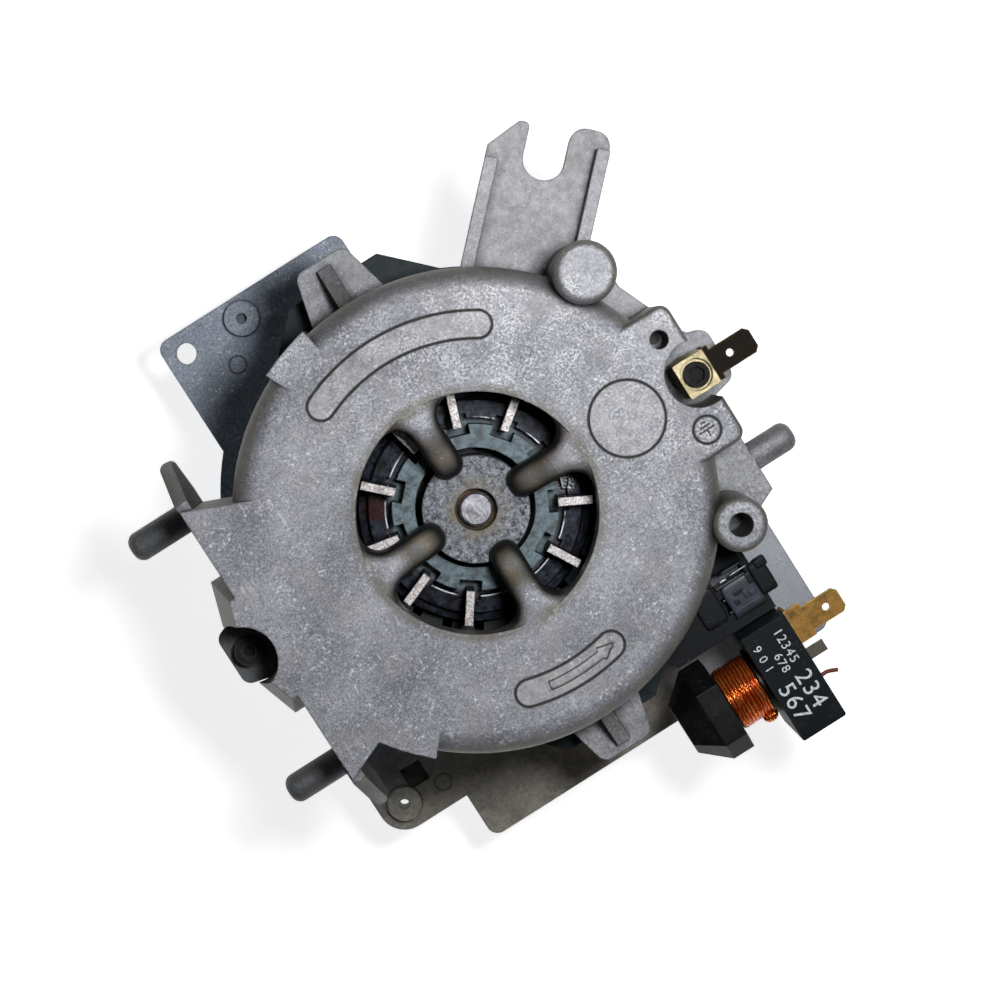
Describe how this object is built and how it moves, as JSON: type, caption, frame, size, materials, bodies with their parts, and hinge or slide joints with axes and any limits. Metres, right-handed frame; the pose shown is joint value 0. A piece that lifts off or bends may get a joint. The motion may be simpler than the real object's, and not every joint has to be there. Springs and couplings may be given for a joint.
{
  "type": "dishwasher circulation pump motor",
  "caption": "Flat induction motor with die-cast end shields, spoked rear window over the rotor, side mounting pins, forked lug, earth terminal and start relay.",
  "frame": {"origin": "where the shaft axis crosses the front mounting face, which takes the pump", "axes": "+Z along the shaft from the front face to the open rear end, +X to the earth terminal, +Y to the ear beside it, counter-clockwise seen from the rear"},
  "size_m": [0.1451, 0.1603, 0.116],
  "materials": {
    "cast_rear": "die-cast, satin, lightly dusty",
    "cast_front": "die-cast, satin, stained",
    "lamination": "dark varnished sheet steel",
    "winding": "varnished enamelled wire",
    "bolt_steel": "zinc plated",
    "bush_bronze": "sintered bronze",
    "spring_steel": "bright",
    "felt": "oiled felt",
    "bearing_steel": "ground",
    "protector_case": "matt",
    "shaft_steel": "ground",
    "circlip_steel": "phosphated",
    "rotor_steel": "turned laminations",
    "rotor_aluminium": "cast, rough",
    "washer_plastic": "matt",
    "terminal_brass": "satin",
    "earth_screw_steel": "dark",
    "tab_tinned": "tinned, tarnished",
    "carrier_black": "matt",
    "clip_brass": "tinned brass",
    "lead_sleeve": "sleeved wire",
    "relay_black": "matt",
    "bobbin_black": "matt",
    "coil_copper": "enamelled copper wire",
    "plunger_steel": "plated",
    "contact_metal": "satin",
    "relay_tab_brass": "satin",
    "small_tab_brass": "satin",
    "coil_wire": "enamelled copper wire"
  },
  "bodies": {
    "motor_frame": {"rear_end_shield": "cast_rear", "front_end_shield": "cast_front", "stator_core": "lamination", "stator_winding": "winding", "through_bolts": "bolt_steel", "rear_bearing": "bush_bronze", "felt_ring": "felt", "bearing_clip": "spring_steel", "front_bearing": "bearing_steel", "thermal_protector": "protector_case", "earth_terminal": "terminal_brass", "earth_screw": "earth_screw_steel", "earth_tab": "tab_tinned", "terminal_carrier": "carrier_black", "terminal_clips": "clip_brass", "winding_leads": "lead_sleeve", "relay_case": "relay_black", "relay_bobbin": "bobbin_black", "relay_coil": "coil_copper", "relay_contacts": "contact_metal", "relay_tab": "relay_tab_brass", "relay_small_tab": "small_tab_brass", "coil_lead": "coil_wire"},
    "rotor": {"shaft": "shaft_steel", "rotor_core": "rotor_steel", "rotor_cage": "rotor_aluminium", "thrust_washers": "washer_plastic", "circlip": "circlip_steel"},
    "relay_armature": {"relay_plunger": "plunger_steel", "contact_bridge": "contact_metal"}
  },
  "joints": [
    {"name": "rotor_spin", "type": "hinge", "parent": "motor_frame", "child": "rotor", "pos_m": [0, 0, 0], "axis": [0, 0, 1], "continuous": true},
    {"name": "relay_pull_in", "type": "slide", "parent": "motor_frame", "child": "relay_armature", "axis": [1, 0, 0], "range_m": [0, 0.003]}
  ]
}
